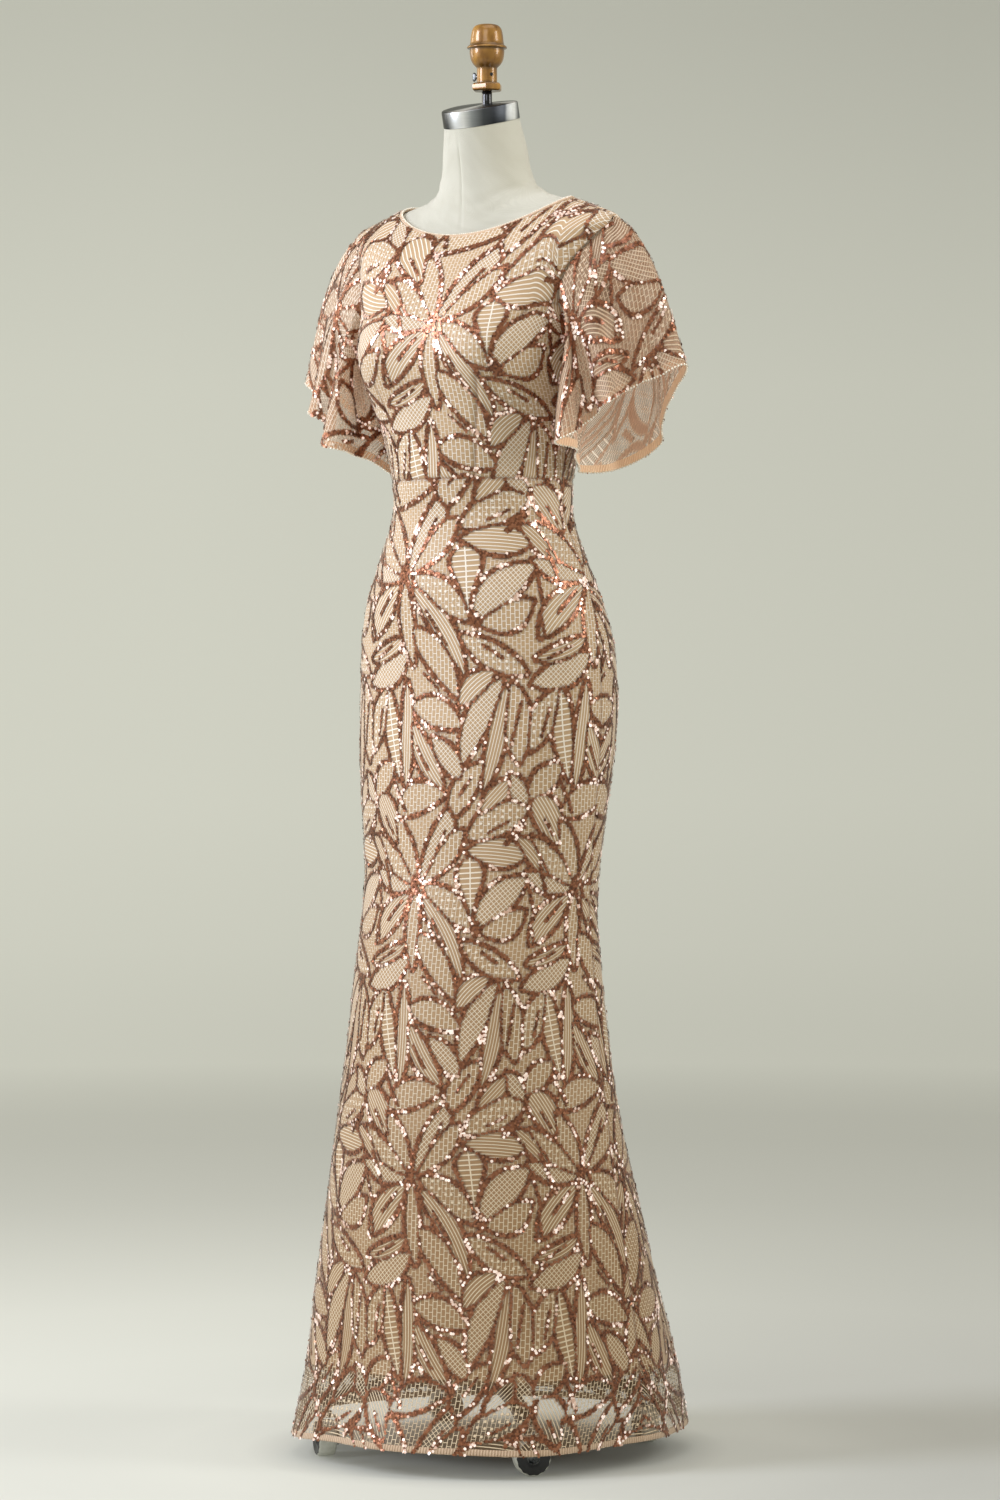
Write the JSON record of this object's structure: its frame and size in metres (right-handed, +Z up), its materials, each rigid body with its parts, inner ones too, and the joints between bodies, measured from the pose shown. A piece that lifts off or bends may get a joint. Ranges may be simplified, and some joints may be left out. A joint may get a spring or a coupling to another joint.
{
  "type": "evening gown on a limbless dress form with a rolling stand",
  "caption": "Floor-length mermaid evening gown of sequinned leaf-pattern mesh over a nude lining, with flutter sleeves, on a limbless dress form with a rolling stand.",
  "frame": {"origin": "on the floor, under the middle of the gown's bounding box, on the stand's pole axis", "axes": "+Z up along the pole, -Y towards the gown's front, +X towards the wearer's left"},
  "size_m": [0.568, 0.4806, 1.758],
  "materials": {
    "sequinned_mesh": "open mesh with copper sequins, glittering",
    "nude_lining": "matt knitted lining",
    "nude_binding": "matt binding",
    "zip_tape": "woven tape with a nylon coil",
    "form_canvas": "matt cream canvas",
    "brushed_steel": "brushed",
    "aged_brass": "satin, aged",
    "blackened_steel": "satin black",
    "cast_iron": "painted, satin",
    "chrome": "polished",
    "black_wheel": "satin black"
  },
  "bodies": {
    "dress_and_stand": {"skirt_front": "sequinned_mesh", "skirt_back_left": "sequinned_mesh", "skirt_back_right": "sequinned_mesh", "bodice_front": "sequinned_mesh", "bodice_back_left": "sequinned_mesh", "bodice_back_right": "sequinned_mesh", "sleeve_left": "sequinned_mesh", "sleeve_right": "sequinned_mesh", "skirt_lining_front": "nude_lining", "skirt_lining_back_left": "nude_lining", "skirt_lining_back_right": "nude_lining", "bodice_lining_front": "nude_lining", "bodice_lining_back_left": "nude_lining", "bodice_lining_back_right": "nude_lining", "neck_binding": "nude_binding", "zip_tape": "zip_tape", "zip_slider": "aged_brass", "form_torso": "form_canvas", "neck_cap": "brushed_steel", "neck_rod": "blackened_steel", "finial": "aged_brass", "pole": "brushed_steel", "base_hub": "cast_iron", "leg_1": "cast_iron", "leg_2": "cast_iron", "leg_3": "cast_iron", "leg_4": "cast_iron"},
    "zip_pull": {"zip_pull": "aged_brass"},
    "thumb_screw": {"thumb_screw": "brushed_steel"},
    "caster_1": {"caster_bracket_1": "chrome"},
    "wheel_1": {"caster_wheel_1": "black_wheel"},
    "caster_2": {"caster_bracket_2": "chrome"},
    "wheel_2": {"caster_wheel_2": "black_wheel"},
    "caster_3": {"caster_bracket_3": "chrome"},
    "wheel_3": {"caster_wheel_3": "black_wheel"},
    "caster_4": {"caster_bracket_4": "chrome"},
    "wheel_4": {"caster_wheel_4": "black_wheel"}
  },
  "joints": [
    {"name": "zip_pull_flip", "type": "hinge", "parent": "dress_and_stand", "child": "zip_pull", "pos_m": [0, 0.08969, 1.48071], "axis": [1, 0, 0], "range_deg": [0, 175]},
    {"name": "thumb_screw_turn", "type": "hinge", "parent": "dress_and_stand", "child": "thumb_screw", "pos_m": [-0.0128, 0, 1.6942], "axis": [1, 0, 0], "continuous": true},
    {"name": "caster_1_swivel", "type": "hinge", "parent": "dress_and_stand", "child": "caster_1", "pos_m": [0.15306, -0.13637, 0], "axis": [0, 0, 1], "continuous": true},
    {"name": "wheel_1_spin", "type": "hinge", "parent": "caster_1", "child": "wheel_1", "pos_m": [0.15705, -0.13189, 0.02207], "axis": [0.7466, -0.6652, 0], "continuous": true},
    {"name": "caster_2_swivel", "type": "hinge", "parent": "dress_and_stand", "child": "caster_2", "pos_m": [0.13637, 0.15306, 0], "axis": [0, 0, 1], "continuous": true},
    {"name": "wheel_2_spin", "type": "hinge", "parent": "caster_2", "child": "wheel_2", "pos_m": [0.13189, 0.15705, 0.02207], "axis": [0.6652, 0.7466, 0], "continuous": true},
    {"name": "caster_3_swivel", "type": "hinge", "parent": "dress_and_stand", "child": "caster_3", "pos_m": [-0.15306, 0.13637, 0], "axis": [0, 0, 1], "continuous": true},
    {"name": "wheel_3_spin", "type": "hinge", "parent": "caster_3", "child": "wheel_3", "pos_m": [-0.15705, 0.13189, 0.02207], "axis": [-0.7466, 0.6652, 0], "continuous": true},
    {"name": "caster_4_swivel", "type": "hinge", "parent": "dress_and_stand", "child": "caster_4", "pos_m": [-0.13637, -0.15306, 0], "axis": [0, 0, 1], "continuous": true},
    {"name": "wheel_4_spin", "type": "hinge", "parent": "caster_4", "child": "wheel_4", "pos_m": [-0.13189, -0.15705, 0.02207], "axis": [-0.6652, -0.7466, 0], "continuous": true}
  ]
}
